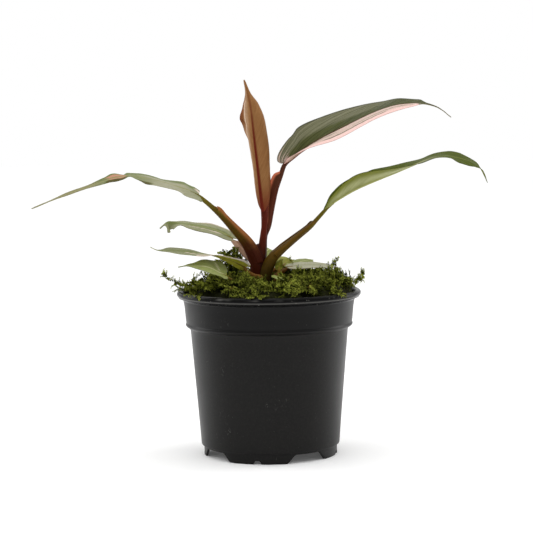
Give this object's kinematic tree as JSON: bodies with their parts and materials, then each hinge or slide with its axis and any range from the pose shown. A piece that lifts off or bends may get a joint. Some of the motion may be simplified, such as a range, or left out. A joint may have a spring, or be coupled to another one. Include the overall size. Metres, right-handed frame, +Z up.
{
  "type": "potted pink princess philodendron",
  "caption": "Young variegated philodendron with long arching leaves, a rolled new leaf and small side leaves, growing from moss-topped potting mix in a round black nursery pot.",
  "frame": {"origin": "centre of the circle that the pot's feet stand on", "axes": "+Z up; +X towards the tips of the two long right-hand leaves; -Y towards the viewer"},
  "size_m": [0.2669, 0.1078, 0.2195],
  "materials": {
    "black_plastic": "satin black moulded plastic with a glossier lip and faint scuffs",
    "potting_mix": "damp dark bark and peat with a few white perlite grains",
    "moss": "ragged olive to yellow-green moss",
    "stem": "dark red-brown fleshy stem",
    "stalk": "smooth leaf stalk, red-brown at the base and olive towards the blade",
    "sheath": "thin coppery pink sheath",
    "dark_leaf": "waxy dark green upper face with a pink half",
    "green_leaf": "waxy mid green leaf with a paler underside",
    "pale_leaf": "grey-green leaf with a soft sheen and pale streaks",
    "copper_leaf": "new copper-brown leaf with a dark red midrib"
  },
  "bodies": {
    "root": {"pot": "black_plastic", "potting_mix": "potting_mix", "moss_mat": "moss", "moss_sprig_left": "moss", "moss_sprig_right": "moss", "stem": "stem", "stalk_left": "stalk", "sheath_left": "sheath", "blade_left": "pale_leaf", "stalk_new": "stalk", "blade_new": "copper_leaf", "stalk_half_moon": "stalk", "sheath_half_moon": "sheath", "blade_half_moon": "dark_leaf", "stalk_right": "stalk", "sheath_right": "sheath", "blade_right": "green_leaf", "stalk_upper_left": "stalk", "sheath_upper_left": "sheath", "blade_upper_left": "pale_leaf", "stalk_mid_left": "stalk", "blade_mid_left": "pale_leaf", "stalk_lower_left": "stalk", "blade_lower_left": "green_leaf", "stalk_low_right": "stalk", "blade_low_right": "pale_leaf", "stalk_back_right": "stalk", "blade_back_right": "green_leaf", "stalk_dark_rimmed": "stalk", "blade_dark_rimmed": "green_leaf", "stalk_curled": "stalk", "blade_curled": "green_leaf", "stalk_front": "stalk", "blade_front": "green_leaf", "stalk_behind": "stalk", "blade_behind": "green_leaf"}
  },
  "joints": []
}
